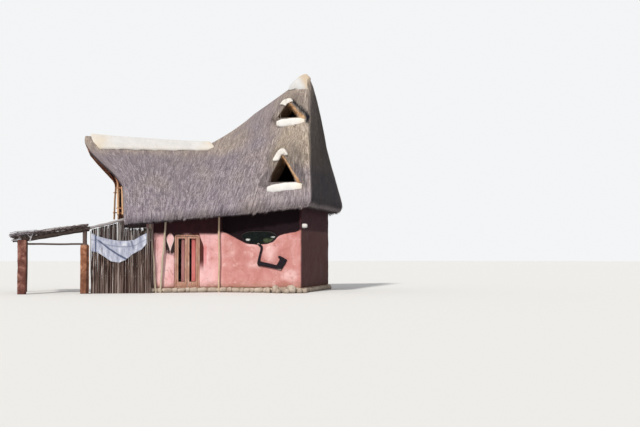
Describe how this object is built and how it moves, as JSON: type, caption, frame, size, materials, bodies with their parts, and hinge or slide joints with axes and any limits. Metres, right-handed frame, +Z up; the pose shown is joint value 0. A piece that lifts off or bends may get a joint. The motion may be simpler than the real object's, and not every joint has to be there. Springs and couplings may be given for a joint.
{
  "type": "thatched cob hut with a peaked tower end",
  "caption": "Thatched cob hut with a bent plan, a ridge that sweeps up to a peak, triangular roof openings, a glazed double door and a brush porch.",
  "frame": {"origin": "on the ground under the middle of the whole hut's box", "axes": "+Z up, +X along the wing's front wall from the porch towards the tower, -Y out of the front"},
  "size_m": [12.6998, 6.9258, 8.33],
  "materials": {
    "cob_plaster": "matt lime wash on cob, faded and chalky",
    "foundation_stone": "rough field stone",
    "thatch": "weathered grass thatch",
    "lime_cap": "trowelled lime cement",
    "timber": "bare weathered timber",
    "pale_pole": "peeled sun-bleached poles",
    "dark_branch": "dark weathered branch",
    "joinery": "worn brown joinery",
    "reveal_plaster": "clay plaster in the openings",
    "glass": "old window glass",
    "cotton_cloth": "white cotton with woven blue stripes"
  },
  "bodies": {
    "root": {"stone_plinth": "foundation_stone", "front_wall_left": "cob_plaster", "front_wall_over_door": "cob_plaster", "front_wall_right": "cob_plaster", "tower_front_wall": "cob_plaster", "right_wall": "cob_plaster", "tower_back_wall": "cob_plaster", "wing_back_wall": "cob_plaster", "gable_wall": "cob_plaster", "wall_branch": "dark_branch", "window_pane": "glass", "door_frame": "joinery", "loft_joists": "timber", "loft_floor": "timber", "thatch_wing_front": "thatch", "thatch_tower_front": "thatch", "thatch_hip": "thatch", "thatch_tower_back": "thatch", "thatch_wing_back": "thatch", "ridge_cap": "lime_cap", "peak_cap": "lime_cap", "lower_hood": "thatch", "lower_hood_cap": "lime_cap", "lower_lining": "reveal_plaster", "lower_sill": "lime_cap", "upper_hood": "thatch", "upper_hood_cap": "lime_cap", "upper_lining": "reveal_plaster", "upper_sill": "lime_cap", "gable_purlins": "timber", "verge_poles": "timber", "eave_posts": "pale_pole", "beam_end": "pale_pole", "porch_pillars": "cob_plaster", "porch_back_posts": "timber", "porch_beams": "timber", "porch_roof_poles": "timber", "porch_rail": "timber", "stick_screen": "timber", "screen_log": "pale_pole", "hung_cloth": "cotton_cloth"},
    "door_left": {"door_leaf_left": "joinery", "door_pane_left": "glass"},
    "door_right": {"door_leaf_right": "joinery", "door_pane_right": "glass"}
  },
  "joints": [
    {"name": "door_left_hinge", "type": "hinge", "parent": "root", "child": "door_left", "pos_m": [-0.6433, -1.17114, 1.2], "axis": [0, 0, 1], "range_deg": [0, 95]},
    {"name": "door_right_hinge", "type": "hinge", "parent": "root", "child": "door_right", "pos_m": [0.1247, -1.17114, 1.2], "axis": [0, 0, -1], "range_deg": [0, 95]}
  ]
}
